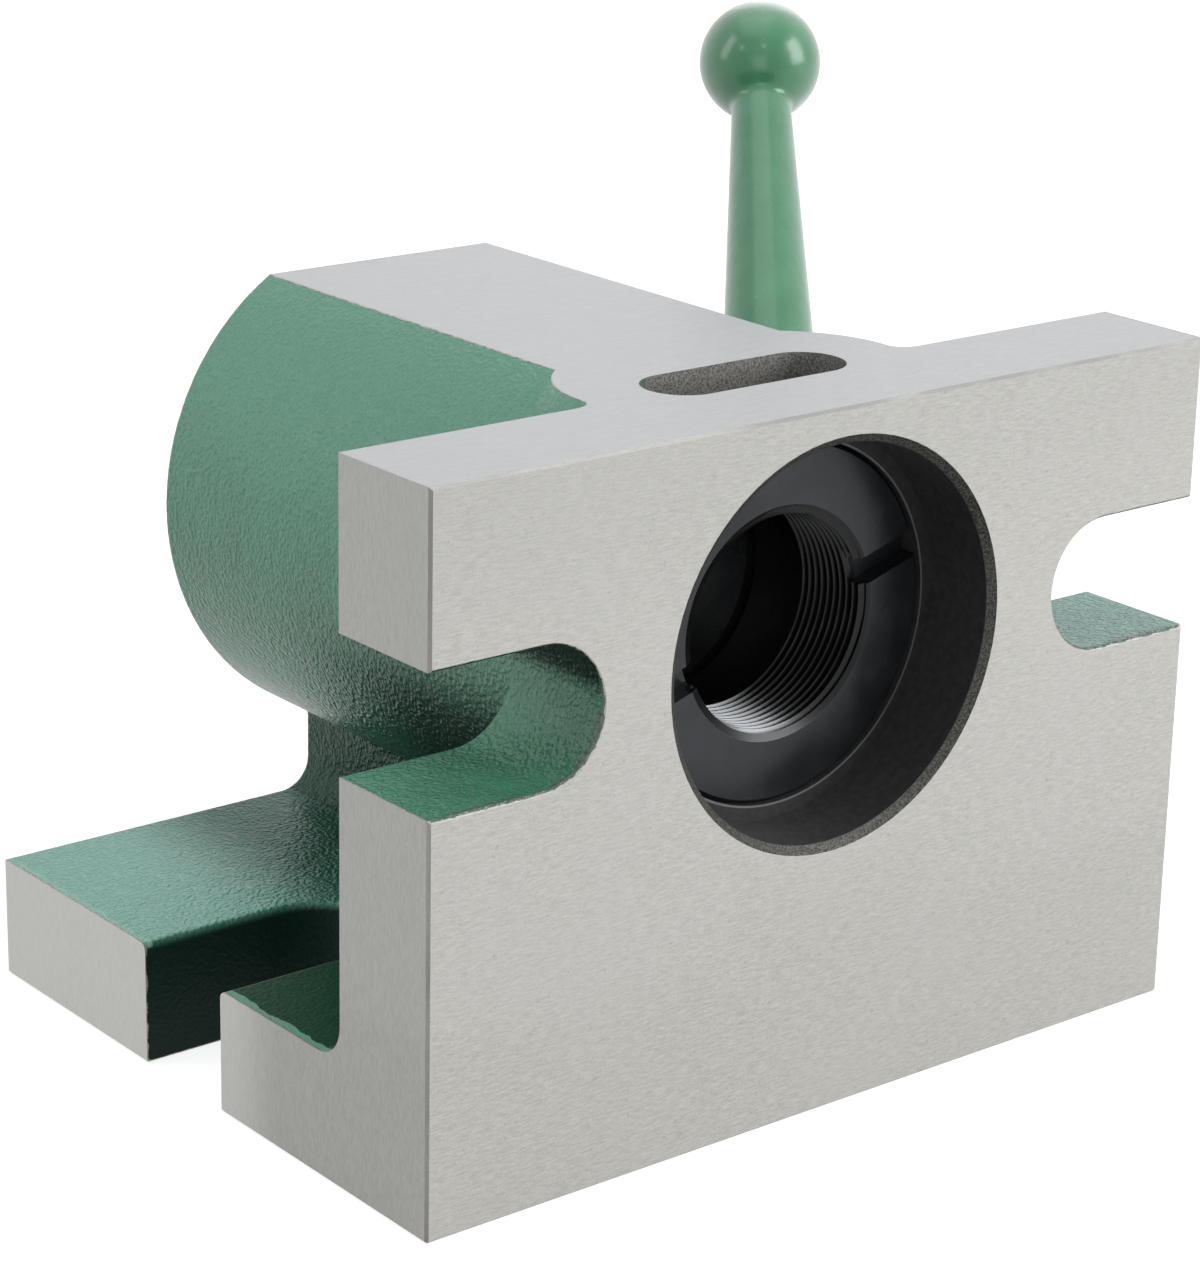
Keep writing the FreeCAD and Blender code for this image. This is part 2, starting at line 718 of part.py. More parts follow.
lever = lever_body("lever")
rod_place = "boss_face + rod_inset"
hub_sketch = new_sketch(lever, "hub_outline", "YZ_Plane", hub_face)
circle(hub_sketch, "0", "0", "hub_radius")
extrude(lever, "Pad", "hub", hub_sketch, "hub_length")


def along_rod(kind, name, reach):
    """A round primitive on the rod's axis, at the reach given from the pivot."""
    feature = lever.newObject("PartDesign::" + kind, name)
    feature.Placement = Placement(Vector(), Rotation(Vector(0, 1, 0), worth("lever_spread")))
    feature.setExpression("Placement.Rotation.Angle", sized("lever_spread"))
    feature.setExpression("Placement.Base.x", sized("%s + %s * sin( lever_spread )" % (rod_place, reach)))
    feature.setExpression("Placement.Base.z", sized("%s * cos( lever_spread )" % reach))
    return feature


rod = along_rod("AdditiveCone", "rod", "rod_root_reach")
rod.setExpression("Radius1", sized("rod_root_radius"))
rod.setExpression("Radius2", sized("rod_tip_radius"))
rod.setExpression("Height", sized("ball_reach - rod_root_reach"))
doc.recompute()

ball = along_rod("AdditiveSphere", "ball", "ball_reach")
ball.setExpression("Radius", sized("ball_radius"))
lever.Tip = ball
doc.recompute()


def is_ball_neck(edge):
    """The circle where the rod meets the ball."""
    reach = worth("ball_reach")
    spread = math.radians(worth("lever_spread"))
    centre = Vector(worth(rod_place) + reach * math.sin(spread), 0, reach * math.cos(spread))
    radius = worth("ball_radius")
    inside = 0.5 * radius < (edge.CenterOfMass - centre).Length < radius
    return inside and edge.BoundBox.DiagonalLength < 1.6 * radius


neck = dress(lever, "Fillet", "ball_neck", ball, is_ball_neck, "ball_fillet")


def is_rod_foot(edge):
    """The curve where the rod leaves the hub."""
    box = edge.BoundBox
    inside = box.XMin > worth(hub_face) + 0.01 and box.XMax < worth(stub_end) - 0.01
    return inside and box.ZMin > worth("hub_radius / 2") and box.ZMax < worth("hub_radius") + 0.1


rod_foot = dress(lever, "Fillet", "rod_foot", neck, is_rod_foot, "hub_fillet")


def is_hub_edge(edge):
    """The round outer edges of the hub."""
    box = edge.BoundBox
    return close_to(box.XLength, 0) and close_to(box.YLength, 2 * worth("hub_radius"))


dress(lever, "Chamfer", "hub_edges", rod_foot, is_hub_edge, "hub_edge")

stub_hole_sketch = new_sketch(lever, "stub_hole_outline", "YZ_Plane", stub_end)
circle(stub_hole_sketch, "0", "0", "stub_radius")
extrude(lever, "Pocket", "stub_hole", stub_hole_sketch, "hub_length + hub_gap")

set_hole_sketch = new_sketch(lever, "set_hole_outline", "XY_Plane", "0 - hub_radius")
circle(set_hole_sketch, rod_place, "0", "screw_radius + screw_gap")
extrude(lever, "Pocket", "set_hole", set_hole_sketch, "hub_radius - stub_radius / 2", backward=True)

set_screw = lever_body("lever_set_screw")
set_sketch = new_sketch(set_screw, "set_screw_outline", "XY_Plane", "0 - hub_radius + hub_edge")
circle(set_sketch, rod_place, "0", "screw_radius")
extrude(set_screw, "Pad", "set_screw_blank", set_sketch, "hub_radius - hub_edge - stub_radius")

# Collet seat in the nose, and the key pin that stops the collet from turning

seat = new_body("collet_seat", ALONG_Y, z="axis_height")
seat_sketch = new_sketch(seat, "seat_outline", "XZ_Plane")
seat_start = "full_depth - seat_length"
taper_end = "full_depth - nose_counterbore_cut"
land_start = "full_depth - seat_length + key_relief_length"
taper_run = "seat_length - nose_counterbore_cut - key_relief_length - seat_land"
taper_mouth = "collet_bore_radius + ( %s ) * tan( seat_angle )" % taper_run
outline(seat_sketch, [
    ("collet_bore_radius + key_relief_cut", seat_start),
    ("bore_radius - seat_edge", seat_start),
    ("bore_radius", seat_start + " + seat_edge"),
    ("bore_radius", "full_depth"),
    ("nose_counterbore_radius + seat_edge", "full_depth"),
    ("nose_counterbore_radius", "full_depth - seat_edge"),
    ("nose_counterbore_radius", taper_end),
    (taper_mouth, taper_end),
    ("collet_bore_radius", land_start + " + seat_land"),
    ("collet_bore_radius", land_start),
    ("collet_bore_radius + key_relief_cut", land_start),
])
turn(seat, "Revolution", "seat_turned", seat_sketch, "V_Axis")

key_depth = "full_depth - seat_length + key_relief_length / 2"
key_hole_sketch = new_sketch(seat, "key_hole_outline", "YZ_Plane", "0")
circle(key_hole_sketch, "0", key_depth, "key_radius")
extrude(seat, "Pocket", "key_hole", key_hole_sketch, "collet_bore_radius - key_reach + key_length", backward=True)

key = new_body("collet_key", ALONG_X, x="collet_bore_radius - key_reach",
               y="%s - full_depth / 2" % key_depth, z="axis_height")
key_sketch = new_sketch(key, "key_outline", "XY_Plane")
circle(key_sketch, "0", "0", "key_radius")
extrude(key, "Pad", "key_pin", key_sketch, "key_length")

# Check every object, then write one file for each piece

doc.recompute()
for thing in doc.Objects:
    if "Invalid" in thing.State or "Error" in thing.State:
        raise RuntimeError("%s did not build: %s" % (thing.Name, thing.State))

pieces = [casting, nut, washer, ring, sleeve, shaft, lock_screw, lever, set_screw, seat, key]
for piece in pieces:
    if piece.Shape.isNull() or not piece.Shape.isValid() or len(piece.Shape.Solids) != 1:
        raise RuntimeError(piece.Label + " has no valid solid")

os.makedirs("parts", exist_ok=True)
for piece in pieces:
    piece.Shape.exportStep(os.path.join("parts", piece.Label + ".step"))
    box = piece.Shape.BoundBox
    print("%-20s volume %9.1f  x %7.2f %7.2f  y %7.2f %7.2f  z %7.2f %7.2f" % (
        piece.Label, piece.Shape.Volume, box.XMin, box.XMax, box.YMin, box.YMax, box.ZMin, box.ZMax))
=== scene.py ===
import math

import bmesh
import bpy
from mathutils import Matrix, Vector


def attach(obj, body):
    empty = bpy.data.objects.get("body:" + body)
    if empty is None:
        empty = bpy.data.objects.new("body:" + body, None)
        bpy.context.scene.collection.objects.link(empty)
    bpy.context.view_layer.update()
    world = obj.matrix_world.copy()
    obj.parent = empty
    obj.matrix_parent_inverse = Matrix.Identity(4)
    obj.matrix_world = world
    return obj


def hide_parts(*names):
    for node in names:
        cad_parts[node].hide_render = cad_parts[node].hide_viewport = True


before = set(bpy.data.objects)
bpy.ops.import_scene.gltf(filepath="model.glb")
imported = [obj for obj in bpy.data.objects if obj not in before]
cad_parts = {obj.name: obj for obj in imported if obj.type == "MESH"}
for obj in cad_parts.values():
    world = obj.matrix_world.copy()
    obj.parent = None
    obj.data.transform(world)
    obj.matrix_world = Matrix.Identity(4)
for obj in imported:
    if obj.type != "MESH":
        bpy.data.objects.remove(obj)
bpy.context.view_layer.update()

# Looks of the collet fixture: ground iron, glossy green paint on the cast skin, black oxide and steel.
# Metres, in the frame of the solids: X across the plate, Y from the plate's face to the nose, Z up.

# Sizes of the casting
HALF_WIDTH = 0.066675
HALF_DEPTH = 0.0524
FLAT_TOP = 0.0994
AXIS_HEIGHT = 0.0667
FACE_Y = -HALF_DEPTH
PLATE_BACK = FACE_Y + 0.01905
MOUTH_RADIUS = 0.0288
COUNTERBORE_RADIUS = 0.0276
COUNTERBORE_FLOOR = FACE_Y + 0.0116
BORE_RADIUS = 0.0254
PIN_SLOT_Y = FACE_Y + 0.02095
PIN_SLOT_HALF = (0.0166, 0.0059)
CROSS_HOLE_Y = 0.0219
CROSS_HOLE_RADIUS = 0.00965
HALF_WEB = 0.017

# Sizes of the nut's thread. Its crests are the bore of the solid, at 0.0151, and the cutter starts inside it.
NUT_FACE_Y = FACE_Y + 0.0120
THREAD_START = NUT_FACE_Y - 0.0001
THREAD_END = FACE_Y + 0.0256
THREAD_PITCH = 0.00127
CUTTER_START_RADIUS = 0.01495
THREAD_ROOT_RADIUS = 0.0160
NUT_CHAMFER_RADIUS = 0.01645
NUT_CHAMFER_END = NUT_FACE_Y + 0.00075


# Camera at the photograph's viewing angle

CAMERA_PLACE = (-0.3083541, -0.3846395, 0.2182726)
CAMERA_ANGLES = (-39.1904, 17.873, 1.301)
CAMERA_LENS = 103.217
CAMERA_SHIFT = (-0.015944, -0.024969)


def put_camera():
    azimuth, elevation, roll = (math.radians(v) for v in CAMERA_ANGLES)
    back = Vector((math.sin(azimuth) * math.cos(elevation),
                   -math.cos(azimuth) * math.cos(elevation), math.sin(elevation)))
    right = Vector((math.cos(azimuth), math.sin(azimuth), 0))
    up = back.cross(right)
    across = math.cos(roll) * right + math.sin(roll) * up
    above = -math.sin(roll) * right + math.cos(roll) * up
    data = bpy.data.cameras.new("view")
    data.sensor_width = 36
    data.lens = CAMERA_LENS
    data.shift_x, data.shift_y = CAMERA_SHIFT
    data.clip_start = 0.01
    data.clip_end = 50
    camera = bpy.data.objects.new("view", data)
    bpy.context.scene.collection.objects.link(camera)
    turn = Matrix((across, above, back)).transposed().to_4x4()
    camera.matrix_world = Matrix.Translation(CAMERA_PLACE) @ turn
    bpy.context.scene.camera = camera


put_camera()


# Helpers for node materials

class Paint:
    """A node material. Each method adds nodes and gives their output."""

    def __init__(self, name):
        self.material = bpy.data.materials.new(name)
        self.material.use_nodes = True
        self.tree = self.material.node_tree
        self.shader = self.tree.nodes["Principled BSDF"]
        self.place = self.add("ShaderNodeTexCoord").outputs["Object"]

    def add(self, kind, settings=None, **inputs):
        node = self.tree.nodes.new(kind)
        for key, value in (settings or {}).items():
            setattr(node, key, value)
        for key, value in inputs.items():
            self.feed(node.inputs[int(key[1:]) if key[0] == "i" and key[1:].isdigit() else key], value)
        return node

    def feed(self, socket, value):
        if isinstance(value, bpy.types.NodeSocket):
            self.tree.links.new(value, socket)
        elif value is not None:
            socket.default_value = value

    def math(self, operation, a, b=None):
        return self.add("ShaderNodeMath", {"operation": operation}, i0=a, i1=b).outputs[0]

    def chain(self, operation, values):
        result = values[0]
        for value in values[1:]:
            result = self.math(operation, result, value)
        return result

    def times(self, *values):
        return self.chain("MULTIPLY", values)

    def plus(self, *values):
        return self.chain("ADD", values)

    def least(self, *values):
        return self.chain("MINIMUM", values)

    def most(self, *values):
        return self.chain("MAXIMUM", values)

    def minus(self, a, b):
        return self.math("SUBTRACT", a, b)

    def size(self, value):
        return self.math("ABSOLUTE", value)

    def below(self, value, limit):
        return self.math("LESS_THAN", value, limit)

    def above(self, value, limit):
        return self.math("GREATER_THAN", value, limit)

    def without(self, mask):
        return self.minus(1, mask)

    def length(self, a, b):
        return self.math("SQRT", self.plus(self.times(a, a), self.times(b, b)))

    def step(self, value, low, high, to_low=0.0, to_high=1.0):
        node = self.add("ShaderNodeMapRange", {"interpolation_type": "SMOOTHSTEP"}, Value=value)
        for name, number in (("From Min", low), ("From Max", high), ("To Min", to_low), ("To Max", to_high)):
            self.feed(node.inputs[name], number)
        return node.outputs[0]

    def mix(self, share, a, b):
        node = self.add("ShaderNodeMix", {"data_type": "RGBA"})
        self.feed(node.inputs[0], share)
        self.feed(node.inputs[6], a)
        self.feed(node.inputs[7], b)
        return node.outputs[2]

    def blend(self, share, a, b):
        return self.add("ShaderNodeMix", None, i0=share, i2=a, i3=b).outputs[0]

    def noise(self, scale, detail=2.0, rough=0.5):
        node = self.add("ShaderNodeTexNoise", Vector=self.place)
        node.inputs["Scale"].default_value = scale
        node.inputs["Detail"].default_value = detail
        node.inputs["Roughness"].default_value = rough
        return node.outputs[0]

    def streaks(self, scales):
        """Noise with its own scale on each axis, for brushed and ground faces."""
        mapping = self.add("ShaderNodeMapping", Vector=self.place)
        mapping.inputs["Scale"].default_value = scales
        node = self.add("ShaderNodeTexNoise", Vector=mapping.outputs[0])
        node.inputs["Scale"].default_value = 1
        node.inputs["Detail"].default_value = 3.0
        node.inputs["Roughness"].default_value = 0.6
        return node.outputs[0]

    def split(self, vector):
        return self.add("ShaderNodeSeparateXYZ", i0=vector).outputs

    def bump(self, height, strength, distance, under=None):
        node = self.add("ShaderNodeBump", Height=height)
        self.feed(node.inputs["Strength"], strength)
        node.inputs["Distance"].default_value = distance
        self.feed(node.inputs["Normal"], under)
        return node.outputs[0]

    def surface(self, colour, metallic, rough, normal, level=None, sheen=None):
        pairs = (("Base Color", colour), ("Metallic", metallic), ("Roughness", rough), ("Normal", normal),
                 ("Specular IOR Level", level), ("Sheen Weight", sheen))
        for name, value in pairs:
            self.feed(self.shader.inputs[name], value)
        return self.material


def colour(red, green, blue):
    """Display values from 0 to 255 as a linear colour."""
    parts = []
    for value in (red, green, blue):
        value /= 255
        parts.append(value / 12.92 if value <= 0.04045 else ((value + 0.055) / 1.055) ** 2.4)
    return (*parts, 1.0)


# Painted and ground iron of the casting

class Casting(Paint):
    """The casting's material, with the measures by which its regions are told apart."""

    def __init__(self):
        super().__init__("painted_and_ground_iron")
        self.x, self.y, self.z = self.split(self.place)
        geometry = self.add("ShaderNodeNewGeometry").outputs
        self.facing = self.split(geometry["True Normal"])
        self.smooth_up = self.split(geometry["Normal"])[2]
        self.side = self.minus(HALF_WIDTH, self.size(self.x))
        self.end = self.minus(HALF_DEPTH, self.size(self.y))
        self.top = self.minus(FLAT_TOP, self.z)
        self.rise = self.minus(self.z, AXIS_HEIGHT)
        self.radius = self.length(self.x, self.rise)
        self.sideways = self.above(self.size(self.facing[0]), 0.7)
        self.cloud = self.noise(38, 3.0, 0.55)
        self.wide = self.noise(120, 3.0, 0.55)
        self.speckle = self.noise(3300, 3.0, 0.7)
        self.mark_inside()
        self.mark_bare()

    def mark_inside(self):
        """The two bores, the pin's slot and the cross hole are not painted."""
        edge = 0.0002
        skin = 0.00001
        in_mouth = self.below(self.y, COUNTERBORE_FLOOR + edge)
        widened = self.times(in_mouth, MOUTH_RADIUS - BORE_RADIUS - edge)
        bore = self.below(self.radius, self.plus(BORE_RADIUS + edge, widened))
        self.bore = self.times(bore, self.below(self.size(self.y), HALF_DEPTH - skin))
        slot = self.times(self.below(self.size(self.minus(self.y, PIN_SLOT_Y)), PIN_SLOT_HALF[1]),
                          self.below(self.size(self.x), PIN_SLOT_HALF[0]))
        self.slot = self.times(slot, self.above(self.z, 0.085), self.below(self.z, FLAT_TOP - skin))
        hole = self.below(self.length(self.minus(self.y, CROSS_HOLE_Y), self.rise), CROSS_HOLE_RADIUS)
        self.hole = self.times(hole, self.above(self.x, 0.02))
        self.inside = self.most(self.bore, self.slot, self.hole)

    def mark_bare(self):
        """The paint stops raggedly at the machined faces, and their own edges are bare."""
        near = self.least(self.side, self.times(self.end, 1.8), self.least(self.times(self.top, 2.2), self.z))
        self.edge_noise = self.noise(700, 3.0, 0.6)
        ragged = self.step(self.edge_noise, 0.35, 0.65, 0.00006, 0.00034)
        faces = [self.below(distance, 0.0005) for distance in (self.side, self.end, self.top, self.z)]
        self.corner = self.above(self.plus(*faces), 1.5)
        bare = self.most(self.below(near, ragged), self.corner)
        self.bare = self.times(bare, self.without(self.inside))
        self.lip = self.most(self.below(near, self.plus(ragged, 0.00012)), self.bare)

    def ground_iron(self):
        """Fine grain, faint feed lines, a few pores, and grey where the stone didn't reach."""
        self.grain = self.noise(5200, 3.0, 0.65)
        feed = self.blend(self.sideways, self.streaks((500, 3800, 4200)), self.streaks((3800, 3800, 700)))
        self.tone = self.plus(self.times(self.grain, 0.45), self.times(feed, 0.55))
        cloud, facing = self.cloud, self.facing
        iron = self.mix(self.step(self.tone, 0.36, 0.64), colour(164, 163, 158), colour(187, 186, 181))
        iron = self.mix(self.step(cloud, 0.35, 0.75, 0.0, 0.35), iron, colour(180, 179, 175))

        # Painted shade and light: the plate's side faces are painted darker, and the foot's side faces lighter
        painted_shade_plate_side = self.times(self.sideways, self.step(self.y, -0.02, -0.005, 0.36, 0.0))
        iron = self.mix(painted_shade_plate_side, iron, colour(140, 141, 140))
        painted_light_foot_side = self.times(self.sideways, self.step(self.y, -0.02, -0.005, 0.0, 0.5))
        iron = self.mix(painted_light_foot_side, iron, colour(205, 206, 201))

        # Painted shade: the top faces are painted darker and bluish, and the plate's face darker toward the top;
        # the top's edges are darker in patches
        rim = self.times(self.corner, self.above(facing[2], 0.3), self.step(cloud, 0.35, 0.6, 0.7, 0.1))
        iron = self.mix(rim, iron, colour(126, 126, 124))
        iron = self.mix(self.times(self.above(facing[2], 0.9), 0.5), iron, colour(136, 137, 144))
        painted_shade_upper_face = self.times(self.below(facing[1], -0.9), self.step(self.z, 0.066, 0.1, 0.0, 0.2))
        iron = self.mix(painted_shade_upper_face, iron, colour(130, 130, 127))

        # Pores, and darker upright edges
        pores = self.above(self.noise(1500, 1.0, 0.4), 0.755)
        iron = self.mix(self.times(pores, 0.22), iron, colour(104, 102, 97))
        slant = self.size(facing[0])
        upright = self.times(self.corner, self.above(slant, 0.3), self.below(slant, 0.9))
        return self.mix(self.times(upright, self.step(cloud, 0.3, 0.7, 0.35, 0.75)), iron, colour(112, 105, 98))

    def iron_inside(self):
        """Black in the bores, speckled grey on the mouth's chamfer and in the pin's slot."""
        speckled = self.mix(self.step(self.speckle, 0.4, 0.62), colour(30, 30, 28), colour(78, 77, 72))
        milled = self.times(self.slot, self.step(self.speckle, 0.35, 0.65, 0.2, 0.75))
        speckled = self.mix(milled, speckled, colour(158, 157, 152))
        flaked = self.times(self.below(self.x, -0.0125), self.above(self.z, 0.0972),
                            self.above(self.noise(620, 3.0, 0.6), 0.5), self.slot)
        speckled = self.mix(flaked, speckled, colour(66, 122, 92))
        oiled = self.mix(self.step(self.noise(900, 3.0, 0.6), 0.35, 0.7), colour(58, 58, 58), colour(71, 71, 71))
        floor = self.below(self.facing[1], -0.5)
        oiled = self.mix(self.times(floor, 0.5), oiled, colour(30, 31, 32))
        # Painted highlight: a pale ring along the bore's edge on the counterbore's floor
        painted_highlight_ledge = self.times(self.below(self.radius, BORE_RADIUS + 0.00028),
                           self.below(self.y, COUNTERBORE_FLOOR + 0.00005), self.bore)
        oiled = self.mix(self.times(painted_highlight_ledge, 0.8), oiled, colour(120, 122, 124))
        chamfer = self.times(self.above(self.radius, COUNTERBORE_RADIUS + 0.00005), self.bore)
        return self.mix(self.most(chamfer, self.slot, self.hole), oiled, speckled)

    def green_paint(self):
        """Paint over the cast skin, with painted light making it paler on top and painted shade making it darker in
        the corners, recesses and under the barrel.
        """
        x, y, z, facing = self.x, self.y, self.z, self.facing
        green = self.mix(self.step(self.wide, 0.3, 0.7), colour(61, 121, 93), colour(67, 129, 101))
        blotch = self.noise(420, 4.0, 0.6)
        green = self.mix(self.step(blotch, 0.55, 0.8, 0.0, 0.3), green, colour(44, 98, 72))
        # Painted light: paint that faces upward is paler
        painted_light_upper = self.times(self.step(self.smooth_up, -0.1, 0.55, 0.0, 0.85), self.above(y, PLATE_BACK + 0.00045))
        green = self.mix(painted_light_upper, green, colour(87, 144, 121))
        on_foot = self.below(z, 0.03)
        # Painted reflection: the foot's top is paler, as a reflection of the white backdrop; painted shade darkens
        # it near the web
        painted_reflection_shelf = self.times(self.step(facing[2], 0.85, 0.98), on_foot, self.above(y, -0.004))
        green = self.mix(self.times(painted_reflection_shelf, 0.8), green, colour(112, 170, 155))
        self.inner = self.times(painted_reflection_shelf, self.step(self.size(x), 0.052, 0.03))
        green = self.mix(self.times(self.inner, 0.85), green, colour(24, 72, 54))

        # The right clamping slot's floor has a paler painted glare, and dull filler shows along the front edges of
        # both
        painted_glare_floor = self.times(self.above(x, 0.03), self.below(y, PLATE_BACK + 0.00015), self.step(facing[2], 0.7, 0.95))
        green = self.mix(self.times(painted_glare_floor, 0.55), green, colour(112, 150, 146))
        seam = self.plus(FACE_Y + 0.00022, self.step(self.noise(240, 2.0, 0.5), 0.3, 0.7, 0.0002, 0.0011))
        seam = self.times(self.step(self.minus(y, seam), 0.00025, -0.00005), self.step(facing[2], -0.4, 0.1))
        green = self.mix(self.times(seam, 0.75), green, colour(84, 92, 88))

        # Painted shade, darkest in the base's slots, on the small foot, under the barrel and beside the web, and a
        # thin pale painted highlight at the foot's ends
        painted_shade_recess = self.times(self.step(z, 0.0188, 0.0166), self.step(facing[1], -0.15, -0.5))
        green = self.mix(self.times(painted_shade_recess, 0.95), green, colour(15, 33, 29))
        # Painted shade on the small foot's top
        low = self.times(self.step(y, -0.002, -0.006), self.step(z, 0.034, 0.021))
        green = self.mix(self.times(low, 0.95), green, colour(14, 54, 33))
        # Painted highlight along the foot's rounded ends
        painted_edge_highlight = self.below(self.side, self.step(self.noise(260, 2.0, 0.5), 0.3, 0.7, 0.0009, 0.0016))
        painted_edge_highlight = self.times(painted_edge_highlight, self.above(facing[2], 0.35), on_foot)
        green = self.mix(self.times(painted_edge_highlight, 0.7), green, colour(128, 180, 156))
        # Painted shade under the barrel and beside the web
        under = self.times(self.step(self.smooth_up, 0.0, -0.4), self.step(y, 0.036, -0.012))
        painted_shade_beside_web = self.times(self.step(z, 0.045, 0.026), self.below(self.size(x), HALF_WEB), 0.8)
        self.under = self.most(under, painted_shade_beside_web)
        green = self.mix(self.times(self.under, 0.97), green, colour(8, 34, 22))
        self.painted_shade_calm = self.most(painted_shade_recess, low)
        filler = self.mix(self.step(self.edge_noise, 0.45, 0.6), colour(122, 122, 92), colour(70, 106, 76))
        return self.mix(self.minus(self.lip, self.bare), green, filler)

    def skin(self):
        """Orange peel of the paint over sand-cast iron, finer and rougher on the undersides."""
        peel = self.step(self.noise(1500, 1.0, 0.4), 0.35, 0.72)
        sand = self.noise(420, 2.0, 0.5)
        lower = self.step(self.smooth_up, 0.15, -0.35)
        grit = self.times(self.noise(1050, 2.0, 0.5), lower, 0.7)
        return self.plus(self.times(peel, 0.42), self.times(sand, self.step(lower, 0, 1, 0.8, 0.4)), grit)

    def finish(self):
        iron, within, painted = self.ground_iron(), self.iron_inside(), self.green_paint()
        covered = self.without(self.bare)
        outer = self.times(covered, self.without(self.inside))
        dull = self.times(covered, self.inside)
        tint = self.mix(covered, iron, self.mix(self.inside, painted, within))
        gloss = self.plus(self.step(self.wide, 0.3, 0.7, 0.27, 0.31), self.times(self.painted_shade_calm, 0.12))
        rough = self.blend(outer, self.step(self.grain, 0.2, 0.8, 0.36, 0.5), gloss)
        rough = self.blend(dull, rough, 0.5)
        metal = self.times(self.without(outer), 0.45)
        normal = self.bump(self.skin(), self.times(outer, self.step(self.painted_shade_calm, 0, 1, 0.75, 0.2)), 0.0005)
        normal = self.bump(self.tone, self.times(self.bare, 0.16), 0.00008, normal)
        normal = self.bump(self.speckle, self.times(dull, 0.5), 0.0001, normal)
        # The specular level is lowered too where shade is painted
        shaded = self.most(self.painted_shade_calm, self.under, self.times(self.inner, 0.85))
        return self.surface(tint, metal, rough, normal, level=self.step(shaded, 0, 1, 0.45, 0.12))


# Other finishes

def lever_paint():
    m = Paint("lever_paint")
    wide = m.noise(140, 2.0, 0.5)
    green = m.mix(m.step(wide, 0.3, 0.7), colour(42, 115, 75), colour(50, 124, 84))
    ripple = m.noise(330, 2.0, 0.45)
    dust = m.above(m.noise(1900, 1.0, 0.3), 0.76)
    green = m.mix(m.times(dust, 0.35), green, colour(120, 165, 140))
    normal = m.bump(ripple, 0.14, 0.0006)
    normal = m.bump(dust, 0.1, 0.0001, normal)
    return m.surface(green, 0.0, m.step(wide, 0.3, 0.7, 0.2, 0.27), normal, level=0.5, sheen=1.0)


def thread_with_painted_light(m, dark):
    """Dark in the nut's thread, with painted shade deepest on the +X side, a darker mouth chamfer, and painted
    highlights on the crests low down on the -X side.
    """
    x, y, z = m.split(m.place)
    rise = m.minus(z, AXIS_HEIGHT)
    radius = m.length(x, rise)
    dim = m.below(radius, NUT_CHAMFER_RADIUS)
    # Painted shade, deepest on the +X side
    dark = m.mix(m.times(dim, m.step(x, -0.006, 0.005, 0.45, 0.8)), dark, colour(10, 11, 12))
    dark = m.mix(m.times(dim, m.below(y, NUT_CHAMFER_END), 0.8), dark, colour(12, 13, 14))
    # Painted highlights on the crests, low down on the -X side
    painted_glint = m.times(m.step(rise, -0.009, -0.0135), m.step(x, 0.006, -0.004), m.step(radius, 0.01575, 0.01525),
                   m.above(y, NUT_CHAMFER_END - 0.00005))
    return m.mix(m.times(painted_glint, 0.75), dark, colour(104, 107, 110))


def black_oxide(name, tone=1.0, threaded=False):
    m = Paint(name)
    wide = m.noise(90, 3.0, 0.6)
    shades = [(*(part * tone for part in shade[:3]), 1.0) for shade in (colour(36, 38, 41), colour(47, 50, 53))]
    dark = m.mix(m.step(wide, 0.3, 0.7), *shades)
    if threaded:
        dark = thread_with_painted_light(m, dark)
    normal = m.bump(m.noise(2600, 3.0, 0.6), 0.12, 0.00005)
    return m.surface(dark, 0.55, m.step(wide, 0.3, 0.7, 0.22, 0.3), normal)


def ground_steel(name):
    m = Paint(name)
    fine = m.streaks((600, 5200, 5200))
    wide = m.noise(60, 3.0, 0.5)
    steel = m.mix(m.step(fine, 0.3, 0.7), colour(158, 158, 156), colour(184, 184, 182))
    steel = m.mix(m.step(wide, 0.5, 0.8, 0.0, 0.3), steel, colour(150, 147, 140))
    normal = m.bump(fine, 0.12, 0.00004)
    return m.surface(steel, 0.85, m.step(wide, 0.3, 0.7, 0.24, 0.34), normal)


BLACK = black_oxide("black_oxide")
STEEL = ground_steel("ground_steel")

FINISH = {
    "body_casting": Casting().finish(),
    "lever": lever_paint(),
    "draw_nut": BLACK,
    "draw_sleeve": black_oxide("sleeve_black", 1.1),
    "thrust_washer": STEEL,
    "nut_retaining_ring": STEEL,
    "cam_shaft": STEEL,
    "collet_seat": STEEL,
    "collet_key": BLACK,
    "shaft_lock_screw": BLACK,
    "lever_set_screw": BLACK,
}
for name, finish in FINISH.items():
    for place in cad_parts[name].material_slots:
        place.material = finish


# Draw nut: the solid with its internal thread cut in

